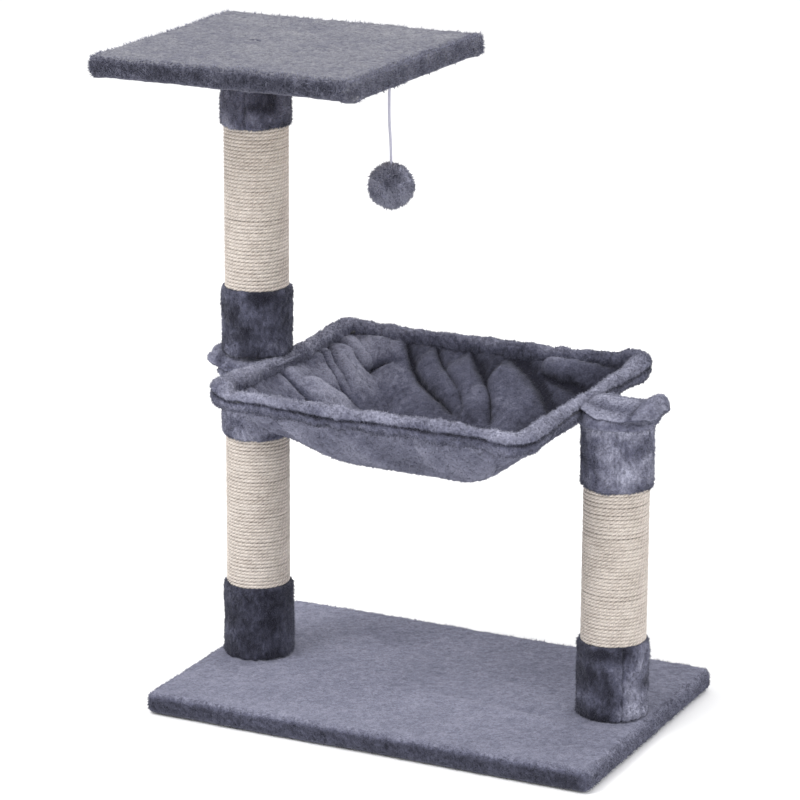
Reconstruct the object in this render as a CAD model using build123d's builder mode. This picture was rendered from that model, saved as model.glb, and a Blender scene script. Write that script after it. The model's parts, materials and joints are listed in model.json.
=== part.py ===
"""Cat tree: a plush-covered base, three rope-wound posts, a slung hammock, a lookout platform and a toy.

Millimetres, +Z up. The origin is on the floor under the middle of the whole tree, X runs from post to post.
Every piece is a separate solid, or a group of identical fasteners, in its own STEP file under parts/.
"""

import os

from build123d import *

# ---------------------------------------------------------------- driving dimensions
BASE_SIZE = (500.0, 335.0)  # over the plush
PLATFORM_SIZE = (298.0, 298.0)  # over the plush
BOARD = 16.0  # particle board
PILE = 6.0  # plush on a visible face, backing and pile
FOLD = 3.0  # plush folded under a board, pressed flat
FOLD_WIDTH = 38.0
SIDE_PLUSH = 4.5
BASE_CORNER = 14.0  # over the plush
PLATFORM_CORNER = 9.0
GAP = 0.1  # glue line between a cover and what it wraps

POST_X = 206.0  # from the base's middle to each post's axis
PLATFORM_OFFSET = 36.0  # the platform's middle, inwards from its post
TAB_REACH = 53.0  # from the right post's axis to the hammock tab's free end
BASE_X = (PLATFORM_SIZE[0] / 2 - PLATFORM_OFFSET - TAB_REACH) / 2  # sets the whole tree about x = 0
LEFT_X, RIGHT_X = BASE_X - POST_X, BASE_X + POST_X
TUBE_RADIUS = 30.0
TUBE_WALL = 4.0
CUFF_RADIUS = 37.5
ROPE = 4.0
ROPE_PITCH = 3.7
PLUG = 18.0
INSERT_LENGTH = 15.0

BASE_TOP = FOLD + BOARD + PILE
LOWER_POST_TOP = 340.0
HAMMOCK_STACK = 20.0  # two plush layers and the lug between the posts
UPPER_POST_FOOT = LOWER_POST_TOP + HAMMOCK_STACK
PLATFORM_TOP = 691.0
PLATFORM_BOARD_FOOT = PLATFORM_TOP - PILE - BOARD
PLATFORM_FOOT = PLATFORM_BOARD_FOOT - FOLD
PLATFORM_CENTRE_X = LEFT_X + PLATFORM_OFFSET
FOOT_CUFF = 80.0
LOWER_TOP_CUFF = 72.0
UPPER_FOOT_CUFF = 71.0
UPPER_TOP_CUFF = 67.0

SHANK_RADIUS = 3.9  # M8
THREAD_BORE = 4.0
CLEAR_HOLE = 4.4
HEAD_RADIUS = 8.0
HEAD_HEIGHT = 4.5
WASHER_RADIUS = 12.0
WASHER = 1.6
RECESS_RADIUS = 13.0
RECESS = 7.0
BOLT_LENGTH = 33.0
HEX_KEY = 5.0  # across the flats of the socket

WIRE_RADIUS = 2.5
WIRE_HALF = (174.0, 153.0)  # the hammock frame, to the wire's centre
WIRE_CORNER = 30.0
WIRE_Z = LOWER_POST_TOP + HAMMOCK_STACK / 2
LUG = (60.0, 40.0, 3.0)
HEM_RADIUS = 8.0
CLOTH = 5.0
TAB_HALF_WIDTH = 48.0

TOY = (BASE_X - 54.0, 3.0)
EYE_Z = PLATFORM_FOOT - 4.2  # the staple's crown, clear of the plush
CORD_RADIUS = 1.0
LOOP_RADIUS = 2.6
TOP_KNOT = 1.8
TOP_KNOT_Z = EYE_Z - LOOP_RADIUS - CORD_RADIUS - 0.4 - TOP_KNOT
BALL_RADIUS = 24.0
BALL = (BASE_X - 51.5, 3.0, 552.5)
END_KNOT = 3.2
CORD_ROUTE = [
    (TOY[0], TOY[1], TOP_KNOT_Z - TOP_KNOT + 0.05),
    (BASE_X - 54.5, 3.0, 622.0),
    (BALL[0], BALL[1], 592.0),
    (BALL[0], BALL[1], BALL[2] + END_KNOT),
]

os.makedirs("parts", exist_ok=True)


def save(part, name):
    """Labels a finished piece and writes it as one STEP file."""
    part.label = name
    export_step(part, f"parts/{name}.step")


def rounded_block(size, centre, low, high, radius, edge=0.0):
    """A flat block with round corners in plan, and its long edges rounded when edge is given."""
    with BuildPart() as block:
        with BuildSketch(Plane.XY.offset(low)):
            with Locations(centre):
                RectangleRounded(size[0], size[1], radius)
        extrude(amount=high - low)
        if edge:
            fillet(block.faces().sort_by(Axis.Z)[-1].edges(), edge)
            fillet(block.faces().sort_by(Axis.Z)[0].edges(), edge / 3)
    return block.part


def ring(centre, inner, outer, low, high):
    """A round sleeve about a vertical axis."""
    with BuildPart() as sleeve:
        with BuildSketch(Plane.XY.offset(low)):
            with Locations(centre):
                Circle(outer)
                Circle(inner, mode=Mode.SUBTRACT)
        extrude(amount=high - low)
    return sleeve.part


def rod(centre, radius, low, high):
    """A plain round bar about a vertical axis."""
    with BuildPart() as bar:
        with BuildSketch(Plane.XY.offset(low)):
            with Locations(centre):
                Circle(radius)
        extrude(amount=high - low)
    return bar.part


# ---------------------------------------------------------------- fasteners
def bolt(centre, seat, up):
    """A button-head M8 bolt: seat is the face that its head bears on, up is +1 or -1 along the shank."""
    plane = Plane(origin=(centre[0], centre[1], seat), x_dir=(1, 0, 0), z_dir=(0, 0, up))
    with BuildPart() as screw:
        with BuildSketch(plane):
            Circle(SHANK_RADIUS)
        extrude(amount=BOLT_LENGTH)
        with BuildSketch(plane):
            Circle(HEAD_RADIUS)
        extrude(amount=-HEAD_HEIGHT)
        head_face = screw.faces().sort_by(Axis.Z)[0 if up > 0 else -1]
        fillet(head_face.edges(), 1.8)
        with BuildSketch(plane.offset(-HEAD_HEIGHT)):
            RegularPolygon(HEX_KEY / 2, 6, major_radius=False)
        extrude(amount=2.6, mode=Mode.SUBTRACT)
    return screw.part


def washer(centre, low):
    return ring(centre, CLEAR_HOLE, WASHER_RADIUS, low, low + WASHER)


def staple(centre, surface, turned, proud=0.0, depth=9.0, span=10.0, wire=1.0):
    """A U-shaped staple driven upwards into a board from below; its crown's top is proud of surface."""
    crown = surface - proud
    plane = Plane(origin=(centre[0], centre[1], crown), x_dir=(0, 1, 0) if turned else (1, 0, 0), z_dir=(0, 0, 1))
    with BuildPart() as wire_part:
        with BuildSketch(plane):
            Rectangle(span, wire)
        extrude(amount=wire * 0.7)
        with BuildSketch(plane):
            with GridLocations(span - wire, 0, 2, 1):
                Rectangle(wire, wire)
        extrude(amount=depth + proud)
    return wire_part.part


def edge_staples(size, centre, surface, across, along):
    """A row of staples under each edge, half-way over the folded plush."""
    inset = FOLD_WIDTH * 0.55
    rows = []
    for side in (-1, 1):
        for i in range(along):
            x = (i - (along - 1) / 2) * (size[0] - 90) / (along - 1)
            rows.append(staple((centre[0] + x, centre[1] + side * (size[1] / 2 - inset)), surface, False))
        for i in range(across):
            y = (i - (across - 1) / 2) * (size[1] - 130) / (across - 1)
            rows.append(staple((centre[0] + side * (size[0] / 2 - inset), centre[1] + y), surface, True))
    return rows


# ---------------------------------------------------------------- boards and their covers
def board(size, centre, low, corner, holes, recess_from_top, staples):
    """Particle board with a clearance hole and a recess for a bolt head at each of holes."""
    inner = (size[0] - 2 * SIDE_PLUSH, size[1] - 2 * SIDE_PLUSH)
    blank = rounded_block(inner, centre, low, low + BOARD, corner - SIDE_PLUSH)
    recess_low = low + BOARD - RECESS if recess_from_top else low
    with BuildPart() as panel:
        add(blank)
        for hole in holes:
            add(rod(hole, CLEAR_HOLE, low, low + BOARD), mode=Mode.SUBTRACT)
            add(rod(hole, RECESS_RADIUS, recess_low, recess_low + RECESS), mode=Mode.SUBTRACT)
        for clip in staples:
            add(clip, mode=Mode.SUBTRACT)
    return panel.part


def cover(size, centre, low, corner, openings, staples):
    """Plush stretched over a board's top and sides, and folded under its edges."""
    high = low + FOLD + BOARD + PILE
    outside = rounded_block(size, centre, low, high, corner, edge=5.0)
    cavity_size = (size[0] - 2 * SIDE_PLUSH + 2 * GAP, size[1] - 2 * SIDE_PLUSH + 2 * GAP)
    cavity = rounded_block(cavity_size, centre, low + FOLD, low + FOLD + BOARD, corner - SIDE_PLUSH + GAP)
    window_size = (size[0] - 2 * FOLD_WIDTH, size[1] - 2 * FOLD_WIDTH)
    window = rounded_block(window_size, centre, low, low + FOLD, 6.0)
    with BuildPart() as skin:
        add(outside)
        add(cavity, mode=Mode.SUBTRACT)
        add(window, mode=Mode.SUBTRACT)
        for opening in openings:
            add(opening, mode=Mode.SUBTRACT)
        for clip in staples:
            add(clip, mode=Mode.SUBTRACT)
    return skin.part


base_centre = (BASE_X, 0.0)
left, right = (LEFT_X, 0.0), (RIGHT_X, 0.0)
base_staple_list = edge_staples(BASE_SIZE, base_centre, 0.4, across=4, along=6)
base_board = board(BASE_SIZE, base_centre, FOLD, BASE_CORNER, (left, right), False, base_staple_list)
base_holes = [rod(at, CLEAR_HOLE, FOLD + BOARD, BASE_TOP) for at in (left, right)]
base_cover = cover(BASE_SIZE, base_centre, 0.0, BASE_CORNER, base_holes, base_staple_list)
save(base_board, "base_board")
save(base_cover, "base_cover")
save(Compound(children=base_staple_list), "base_staples")

base_seat = FOLD + RECESS - WASHER
save(Compound(children=[bolt(at, base_seat, 1) for at in (left, right)]), "base_bolts")
save(Compound(children=[washer(at, base_seat) for at in (left, right)]), "base_washers")

platform_centre = (PLATFORM_CENTRE_X, 0.0)
toy_staple = staple(TOY, EYE_Z - 0.35, True, depth=PLATFORM_FOOT - EYE_Z + 9.0, span=9.0)
platform_staple_list = edge_staples(PLATFORM_SIZE, platform_centre, PLATFORM_FOOT + 0.4, across=3, along=4)
platform_clips = platform_staple_list + [toy_staple]
platform_board = board(
    PLATFORM_SIZE, platform_centre, PLATFORM_BOARD_FOOT, PLATFORM_CORNER, (left,), True, platform_clips
)
with BuildPart() as bolt_slit:
    with BuildSketch(Plane.XY.offset(PLATFORM_TOP - PILE)):
        with Locations(left):
            SlotOverall(14.0, 2.4)
    extrude(amount=PILE)
platform_cover = cover(
    PLATFORM_SIZE, platform_centre, PLATFORM_FOOT, PLATFORM_CORNER, [bolt_slit.part], platform_clips
)
save(platform_board, "platform_board")
save(platform_cover, "platform_cover")
save(Compound(children=platform_staple_list), "platform_staples")
save(toy_staple, "toy_staple")

platform_seat = PLATFORM_TOP - PILE - RECESS + WASHER
save(bolt(left, platform_seat, -1), "platform_bolt")
save(washer(left, platform_seat - WASHER), "platform_washer")


# ---------------------------------------------------------------- posts
def plug(centre, low, insert_low):
    """A turned end plug glued in the tube, bored for its threaded insert and the bolt behind it."""
    with BuildPart() as block:
        add(rod(centre, TUBE_RADIUS - TUBE_WALL - GAP, low, low + PLUG))
        add(rod(centre, CLEAR_HOLE, low, low + PLUG), mode=Mode.SUBTRACT)
        add(rod(centre, 6.0 + GAP, insert_low, insert_low + INSERT_LENGTH), mode=Mode.SUBTRACT)
    return block.part


def rope_winding(centre, low, high):
    """The wound rope as one ring for each turn, its outside scalloped like the turns."""
    turns = round((high - low) / ROPE_PITCH)
    pitch = (high - low) / turns
    inner, outer = TUBE_RADIUS + GAP, TUBE_RADIUS + ROPE
    valley = outer - 0.9
    axis = Axis((centre[0], centre[1], 0), (0, 0, 1))
    plane = Plane(origin=(centre[0], centre[1], low), x_dir=(1, 0, 0), z_dir=(0, -1, 0))
    with BuildPart() as winding:
        with BuildSketch(plane):
            with BuildLine():
                Polyline((valley, 0), (inner, 0), (inner, high - low), (valley, high - low))
                for i in range(turns):
                    ThreePointArc((valley, i * pitch), (outer, (i + 0.5) * pitch), (valley, (i + 1) * pitch))
            make_face()
        revolve(axis=axis)
    return winding.part


def cuff(centre, low, high, free_end_up):
    """A plush sleeve round one end of a post, with its free edge rounded over."""
    with BuildPart() as sleeve:
        add(ring(centre, TUBE_RADIUS + GAP, CUFF_RADIUS, low, high))
        free_edge = sleeve.edges().filter_by(GeomType.CIRCLE).group_by(SortBy.RADIUS)[-1].sort_by(Axis.Z)
        fillet(free_edge[-1 if free_end_up else 0], 3.0)
    return sleeve.part


def post(name, centre, foot, top, foot_cuff, top_cuff):
    """One post: paper tube, two plugs with threaded inserts, rope winding and two plush cuffs."""
    insert_lows = (foot, top - INSERT_LENGTH)
    save(ring(centre, TUBE_RADIUS - TUBE_WALL, TUBE_RADIUS, foot, top), f"{name}_tube")
    save(plug(centre, foot, insert_lows[0]), f"{name}_foot_plug")
    save(plug(centre, top - PLUG, insert_lows[1]), f"{name}_top_plug")
    inserts = [ring(centre, THREAD_BORE, 6.0, low, low + INSERT_LENGTH) for low in insert_lows]
    save(Compound(children=inserts), f"{name}_inserts")
    save(rope_winding(centre, foot + foot_cuff, top - top_cuff), f"{name}_sisal")
    save(cuff(centre, foot, foot + foot_cuff, True), f"{name}_foot_cuff")
    save(cuff(centre, top - top_cuff, top, False), f"{name}_top_cuff")


post("lower_left_post", left, BASE_TOP, LOWER_POST_TOP, FOOT_CUFF, LOWER_TOP_CUFF)
post("right_post", right, BASE_TOP, LOWER_POST_TOP, FOOT_CUFF, LOWER_TOP_CUFF)
post("upper_left_post", left, UPPER_POST_FOOT, PLATFORM_BOARD_FOOT, UPPER_FOOT_CUFF, UPPER_TOP_CUFF)

stud_low, stud_high = LOWER_POST_TOP - INSERT_LENGTH, UPPER_POST_FOOT + INSERT_LENGTH
save(rod(left, SHANK_RADIUS, stud_low, stud_high), "joining_stud")


# ---------------------------------------------------------------- hammock
with BuildSketch(Plane.XY.offset(WIRE_Z)) as frame_outline:
    with Locations(base_centre):
        RectangleRounded(2 * WIRE_HALF[0], 2 * WIRE_HALF[1], WIRE_CORNER)
frame_path = frame_outline.sketch.wire()


def frame_ring(radius):
    """A round section carried once round the hammock frame's rectangle."""
    with BuildPart() as loop:
        with BuildSketch(Plane(origin=frame_path @ 0, z_dir=frame_path % 0)):
            Circle(radius)
        sweep(path=frame_path)
    return loop.part


def lug_block(side, grow=0.0):
    """The flat lug welded to a short side of the frame, reaching past the post's bolt."""
    middle = BASE_X + side * (WIRE_HALF[0] + LUG[0] / 2)
    with BuildPart() as block:
        with BuildSketch(Plane.XY.offset(WIRE_Z - LUG[2] / 2 - grow)):
            with Locations((middle, 0)):
                RectangleRounded(LUG[0] + 2 * grow, LUG[1] + 2 * grow, 8.0)
        extrude(amount=LUG[2] + 2 * grow)
    return block.part


with BuildPart() as hammock_frame:
    add(frame_ring(WIRE_RADIUS))
    for side, at in ((-1, left), (1, right)):
        add(lug_block(side))
        add(rod(at, CLEAR_HOLE, WIRE_Z - LUG[2], WIRE_Z + LUG[2]), mode=Mode.SUBTRACT)
save(hammock_frame.part, "hammock_frame")

# The bag's outside at five levels: height, half length, half width and corner radius.
BAG_LEVELS = (
    (WIRE_Z - 3, 178.0, 157.0, 34.0),
    (318.0, 166.0, 143.0, 48.0),
    (288.0, 138.0, 115.0, 60.0),
    (262.0, 95.0, 76.0, 55.0),
    (248.0, 45.0, 34.0, 30.0),
)


def bag_loft(inset, rise):
    """The bag's outline at each level, drawn in by inset and raised by rise, and dented by the posts' ends."""
    with BuildPart() as bowl:
        for height, half_x, half_y, radius in BAG_LEVELS:
            with BuildSketch(Plane.XY.offset(height + rise)):
                with Locations(base_centre):
                    RectangleRounded(2 * (half_x - inset), 2 * (half_y - inset), radius - inset)
        loft()
        for at in (left, right):
            post_end = rod(at, CUFF_RADIUS + 0.3 + inset, 200.0, LOWER_POST_TOP + rise)
            add(post_end, mode=Mode.SUBTRACT)
    return bowl.part


with BuildPart() as hammock_bag:
    add(frame_ring(HEM_RADIUS))
    add(bag_loft(0.0, 0.0))
    add(bag_loft(CLOTH, CLOTH), mode=Mode.SUBTRACT)
    add(frame_ring(WIRE_RADIUS + GAP), mode=Mode.SUBTRACT)
    for side in (-1, 1):
        add(lug_block(side, grow=GAP), mode=Mode.SUBTRACT)
save(hammock_bag.part, "hammock_bag")


def tab_blank(side):
    """The plush tab that wraps a lug and reaches over the post's end, before its pocket is cut."""
    inner, outer = WIRE_HALF[0] + HEM_RADIUS + 0.3, POST_X + TAB_REACH
    middle = BASE_X + side * (inner + outer) / 2
    with BuildPart() as pad:
        with BuildSketch(Plane.XY.offset(LOWER_POST_TOP)):
            with Locations((middle, 0)):
                RectangleRounded(outer - inner, 2 * TAB_HALF_WIDTH, 24.0)
        extrude(amount=HAMMOCK_STACK)
        add(lug_block(side, grow=GAP), mode=Mode.SUBTRACT)
    return pad.part


with BuildPart() as left_tab:
    add(tab_blank(-1))
    add(rod(left, CLEAR_HOLE, LOWER_POST_TOP, UPPER_POST_FOOT), mode=Mode.SUBTRACT)
save(left_tab.part, "hammock_left_tab")

lug_top = WIRE_Z + LUG[2] / 2
with BuildPart() as right_tab:
    add(tab_blank(1))
    add(rod(right, CLEAR_HOLE, LOWER_POST_TOP, lug_top), mode=Mode.SUBTRACT)
    add(rod(right, RECESS_RADIUS, lug_top, lug_top + WASHER + HEAD_HEIGHT + 0.4), mode=Mode.SUBTRACT)
    with BuildSketch(Plane.XY.offset(UPPER_POST_FOOT)):
        with Locations(right):
            SlotOverall(14.0, 2.4)
    extrude(amount=-4.0, mode=Mode.SUBTRACT)
save(right_tab.part, "hammock_right_tab")
save(washer(right, lug_top), "hammock_washer")
save(bolt(right, lug_top + WASHER, -1), "hammock_bolt")


# ---------------------------------------------------------------- hanging toy
with BuildPart() as cord_loop:
    with BuildSketch(Plane(origin=(TOY[0], TOY[1], EYE_Z))):
        with Locations((LOOP_RADIUS, 0)):
            Circle(CORD_RADIUS)
    revolve(axis=Axis((TOY[0], TOY[1], EYE_Z), (0, 1, 0)))
save(cord_loop.part, "toy_cord_loop")


def arc_radii(route):
    """Each bend's radius: 0.45 of its shorter run over the tangent of half its turn."""
    points = [Vector(*p) for p in route]
    radii = []
    for a, b, c in zip(points, points[1:], points[2:]):
        half_turn = (b - a).get_angle(c - b) / 2
        tangent = Vector(1, 0, 0).rotate(Axis.Z, half_turn)
        radii.append(0.45 * min((b - a).length, (c - b).length) * tangent.X / tangent.Y)
    return radii


cord_radii = arc_radii(CORD_ROUTE)
print("toy cord bend radii", [round(r, 1) for r in cord_radii])
with BuildPart() as cord:
    with BuildLine() as cord_line:
        FilletPolyline(*CORD_ROUTE, radius=cord_radii)
    start_direction = Vector(*CORD_ROUTE[1]) - Vector(*CORD_ROUTE[0])
    with BuildSketch(Plane(origin=CORD_ROUTE[0], z_dir=start_direction)):
        Circle(CORD_RADIUS)
    sweep(path=cord_line.wire())
    cord_length = cord_line.wire().length
    with Locations((TOY[0], TOY[1], TOP_KNOT_Z)):
        Sphere(TOP_KNOT, mode=Mode.SUBTRACT)
    with Locations(BALL):
        Sphere(END_KNOT, mode=Mode.SUBTRACT)
section_volume = 3.14159 * CORD_RADIUS**2 * cord_length
print("toy cord length", round(cord_length, 1), "volume share", round(cord.part.volume / section_volume, 3))
save(cord.part, "toy_cord")

with BuildPart() as top_knot:
    with Locations((TOY[0], TOY[1], TOP_KNOT_Z)):
        Sphere(TOP_KNOT)
save(top_knot.part, "toy_top_knot")

with BuildPart() as end_knot:
    with Locations(BALL):
        Sphere(END_KNOT)
save(end_knot.part, "toy_end_knot")

with BuildPart() as pompom:
    with Locations(BALL):
        Sphere(BALL_RADIUS)
        Sphere(END_KNOT + 0.5, mode=Mode.SUBTRACT)
    add(rod(BALL[:2], CORD_RADIUS + 0.3, BALL[2], BALL[2] + BALL_RADIUS + 1), mode=Mode.SUBTRACT)
save(pompom.part, "toy_pompom")
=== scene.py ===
import itertools
import json
import math

import bpy
import numpy as np
from mathutils import Matrix, Vector


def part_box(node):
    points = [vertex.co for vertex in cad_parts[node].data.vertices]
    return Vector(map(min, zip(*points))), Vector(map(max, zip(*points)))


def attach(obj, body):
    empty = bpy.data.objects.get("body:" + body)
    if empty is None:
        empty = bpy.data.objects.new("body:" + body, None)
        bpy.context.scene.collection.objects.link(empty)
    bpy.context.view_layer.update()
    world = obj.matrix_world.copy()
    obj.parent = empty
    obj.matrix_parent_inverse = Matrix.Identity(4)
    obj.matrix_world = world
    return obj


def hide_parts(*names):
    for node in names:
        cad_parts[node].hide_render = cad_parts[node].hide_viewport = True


MM = 0.001
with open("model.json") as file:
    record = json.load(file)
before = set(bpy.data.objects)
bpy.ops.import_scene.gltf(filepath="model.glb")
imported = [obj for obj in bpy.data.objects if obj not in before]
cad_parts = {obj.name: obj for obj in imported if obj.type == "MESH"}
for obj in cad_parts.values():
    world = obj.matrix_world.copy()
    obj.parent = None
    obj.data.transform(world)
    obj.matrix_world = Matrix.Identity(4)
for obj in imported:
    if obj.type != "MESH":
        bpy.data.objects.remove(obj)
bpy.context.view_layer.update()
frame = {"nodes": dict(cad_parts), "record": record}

base_low, base_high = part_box("base_cover")
BASE_MIDDLE = Vector(((base_low.x + base_high.x) / 2, 0, 0))
THIRDS_OF_A_TURN = (0, 2.094, 4.189)


# ---------------------------------------------------------------- camera
def look_from(target, distance, azimuth, elevation, roll):
    """Puts the camera on a line from target; azimuth 0 looks along +Y, angles in degrees."""
    a, e, r = (math.radians(v) for v in (azimuth, elevation, roll))
    forward = Vector((-math.sin(a) * math.cos(e), math.cos(a) * math.cos(e), -math.sin(e)))
    right = Vector((math.cos(a), math.sin(a), 0))
    up = right.cross(forward)
    right, up = right * math.cos(r) + up * math.sin(r), up * math.cos(r) - right * math.sin(r)
    turned = Matrix((right, up, -forward)).transposed().to_4x4()
    return Matrix.Translation(target - forward * distance) @ turned


CAMERA_AIM = BASE_MIDDLE + Vector((-0.0386, 0, 0.3262))
CAMERA_DISTANCE = 3.7532
CAMERA_AZIMUTH, CAMERA_ELEVATION, CAMERA_ROLL = 25.76, 15.97, 0.32
camera = bpy.data.objects.new("camera", bpy.data.cameras.new("camera"))
bpy.context.collection.objects.link(camera)
camera.data.lens = 162.7
camera.data.clip_end = 50
camera.matrix_world = look_from(
    CAMERA_AIM, CAMERA_DISTANCE, CAMERA_AZIMUTH, CAMERA_ELEVATION, CAMERA_ROLL
)
bpy.context.scene.camera = camera
bpy.context.scene.view_settings.view_transform = "Standard"


# ---------------------------------------------------------------- noise and mesh helpers
def random_lattice(cells, seed):
    """A repeatable value from -1 to 1 for each whole-number cell."""
    # Large odd multipliers stir the cell numbers and the seed together.
    mixed = cells[..., 0] * 374761393 + cells[..., 1] * 668265263 + cells[..., 2] * 1274126177
    mixed = mixed + seed * 974634777
    mixed = (mixed ^ (mixed >> 13)) * 1103515245
    mixed = mixed ^ (mixed >> 16)
    return (mixed & 0xFFFF) / 32767.5 - 1.0


def grain(points, size, seed=0):
    """Smooth noise from -1 to 1 at points; size is its cell in metres, for each axis if it is a list."""
    scaled = points / np.asarray(size)
    cells = np.floor(scaled).astype(np.int64)
    part = scaled - cells
    part = part * part * (3 - 2 * part)
    total = np.zeros(len(points))
    for corner in itertools.product((0, 1), repeat=3):
        weight = np.prod(np.where(corner, part, 1 - part), axis=-1)
        total += weight * random_lattice(cells + np.array(corner), seed)
    return total


def pile(points, depth, nap=(1, 1, 1), seed=0):
    """How far plush stands out at each point: clumps, locks and single tips, drawn out along its nap."""
    nap = np.array(nap)
    clumps = grain(points, 0.0100 * nap, seed)
    locks = grain(points, 0.0046 * nap, seed + 1)
    tips = grain(points, 0.0025 * nap, seed + 2)
    return depth * (0.20 * clumps + 0.40 * locks + 0.60 * tips)


def new_mesh(name, points, faces):
    mesh = bpy.data.meshes.new(name)
    mesh.from_pydata([tuple(p) for p in points.reshape(-1, 3).tolist()], [], faces)
    mesh.polygons.foreach_set("use_smooth", [True] * len(mesh.polygons))
    mesh.update()
    obj = bpy.data.objects.new(name, mesh)
    bpy.context.collection.objects.link(obj)
    return obj


def whole(faces):
    """The faces with plain whole numbers, as Blender takes them."""
    return [tuple(int(k) for k in face) for face in faces]


def grid_faces(index):
    """Quads between the points of a grid, row by row, from the numbers of its points."""
    rows, columns = index.shape
    return [
        (index[j, i], index[j, i + 1], index[j + 1, i + 1], index[j + 1, i])
        for j in range(rows - 1)
        for i in range(columns - 1)
    ]


def grid_normals(layer):
    """Unit normals of a grid of points."""
    normal = np.cross(np.gradient(layer, axis=1), np.gradient(layer, axis=0))
    return normal / np.linalg.norm(normal, axis=-1)[..., None]


def catmull_rom(a, b, c, d, t):
    """The place a share t of the way from b to c, on a smooth line from a through b and c to d."""
    return 0.5 * (2 * b + (c - a) * t + (2 * a - 5 * b + 4 * c - d) * t**2 + (3 * b - a - 3 * c + d) * t**3)


def points_of(obj):
    flat = np.empty(len(obj.data.vertices) * 3, np.float32)
    obj.data.vertices.foreach_get("co", flat)
    return flat.reshape(-1, 3).astype(float)


def normals_of(obj):
    flat = np.empty(len(obj.data.vertices) * 3, np.float32)
    obj.data.vertex_normals.foreach_get("vector", flat)
    return flat.reshape(-1, 3).astype(float)


def put_points(obj, points):
    obj.data.vertices.foreach_set("co", points.astype(np.float32).ravel())
    obj.data.update()


def grow(obj, heights):
    """Moves each point along its normal by its height."""
    put_points(obj, points_of(obj) + normals_of(obj) * heights[:, None])


def paint_nap_and_shade(obj, values):
    """Stores how light the plush or twine is at each point, from 0 to 1, for its material to read: its nap's
    own tone and its painted light and shade.
    """
    # The nap layer holds painted light and shade as well as the nap's own tone.
    layer = obj.data.attributes.new("nap", "FLOAT", "POINT")
    layer.data.foreach_set("value", np.clip(values, 0, 1).astype(np.float32))


def grow_pile(obj, depth, nap, seed, tone, patches=0.0, patch_size=0.03, mask=1.0, extra=0.0):
    """Raises plush from a piece's surface and paints it: painted shade between the locks, lighter on their
    tips, and darker or lighter in patches.
    """
    points = points_of(obj)
    rise = pile(points, 1.0, nap, seed)
    grow(obj, depth * rise * mask + extra)
    patch = grain(points, patch_size, seed + 31) + 0.5 * grain(points, patch_size * 0.45, seed + 32)
    # Lower pile is painted darker and higher pile lighter: painted shade between the locks.
    paint_nap_and_shade(obj, tone + 0.18 * rise + patches * patch)


def finish_piece(obj, material, body, replaced=()):
    obj.data.materials.append(material)
    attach(obj, body)
    if replaced:
        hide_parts(*replaced)
    return obj


def nap_and_shade_of_faces(mesh):
    """The painted nap, with its painted light and shade, at the first corner of each face."""
    corners = np.empty(len(mesh.loops), np.int32)
    mesh.loops.foreach_get("vertex_index", corners)
    starts = np.empty(len(mesh.polygons), np.int32)
    mesh.polygons.foreach_get("loop_start", starts)
    values = np.empty(len(mesh.vertices), np.float32)
    mesh.attributes["nap"].data.foreach_get("value", values)
    return values[corners[starts]]


def tufts_on(obj, count, length, width, lean, seed, where=None):
    """Tapered tufts of pile standing on a piece: lean tips them over, where says how thickly they grow."""
    mesh = obj.data
    number = len(mesh.polygons)
    centre = np.empty(number * 3, np.float32)
    normal = np.empty(number * 3, np.float32)
    area = np.empty(number, np.float32)
    mesh.polygons.foreach_get("center", centre)
    mesh.polygons.foreach_get("normal", normal)
    mesh.polygons.foreach_get("area", area)
    centre, normal = centre.reshape(-1, 3).astype(float), normal.reshape(-1, 3).astype(float)
    largest_face = 1e-4
    weight = area.astype(float) * (area < largest_face)
    if where:
        weight = weight * where(centre, normal)
    generator = np.random.default_rng(seed)
    chosen = generator.choice(number, count, p=weight / weight.sum())
    normal = normal[chosen]
    bunch = np.stack([grain(centre[chosen], 0.009, seed + k) for k in (1, 2, 3)], 1)
    heading = normal + np.array(lean) + generator.normal(0, 0.25, (count, 3)) + 0.7 * bunch
    heading /= np.linalg.norm(heading, axis=1)[:, None]
    side = np.cross(heading, generator.normal(0, 1, (count, 3)))
    side /= np.linalg.norm(side, axis=1)[:, None]
    other = np.cross(heading, side)
    drift = generator.uniform(-0.5, 0.5, (count, 3)) * np.sqrt(area[chosen])[:, None]
    foot = centre[chosen] + drift - normal * (np.sum(drift * normal, 1)[:, None] + 0.0006)
    size = length * generator.uniform(0.55, 1.25, count)[:, None]
    corners = [
        foot + (side * math.cos(a) + other * math.sin(a)) * width / 2 for a in THIRDS_OF_A_TURN
    ]
    points = np.stack([*corners, foot + heading * size], 1)
    above_floor = 0.0002
    points[..., 2] = np.maximum(points[..., 2], above_floor)
    base = np.arange(count)[:, None] * 4
    triangles = np.concatenate([base + np.array(t) for t in ((2, 1, 0), (0, 1, 3), (1, 2, 3), (2, 0, 3))])
    tufts = new_mesh(f"{obj.name}_tufts", points, triangles.tolist())
    # Each tuft takes the surface's painted nap, light and shade; its foot is painted darker as shade and its
    # tip lighter as a painted highlight.
    nap = nap_and_shade_of_faces(mesh)[chosen]
    painted_tip_highlight = 0.26 + 0.22 * generator.uniform(-1, 1, count)
    paint_nap_and_shade(tufts, np.stack([nap - 0.10] * 3 + [nap + painted_tip_highlight], 1).ravel())
    return finish_piece(tufts, plush, "tree", ())


def tube_faces(rings, around, closed_length=False):
    """Quads that join rings of around points each, with end caps unless the tube closes on itself."""
    faces = []
    for i in range(rings if closed_length else rings - 1):
        a, b = i * around, (i + 1) % rings * around
        for j in range(around):
            k = (j + 1) % around
            faces.append((a + j, a + k, b + k, b + j))
    if not closed_length:
        faces.append(tuple(range(around - 1, -1, -1)))
        faces.append(tuple((rings - 1) * around + j for j in range(around)))
    return faces


def arc_steps(start, end, count):
    """Angles in radians from start to end degrees, without the first."""
    return np.radians(np.linspace(start, end, count + 1)[1:])


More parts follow.
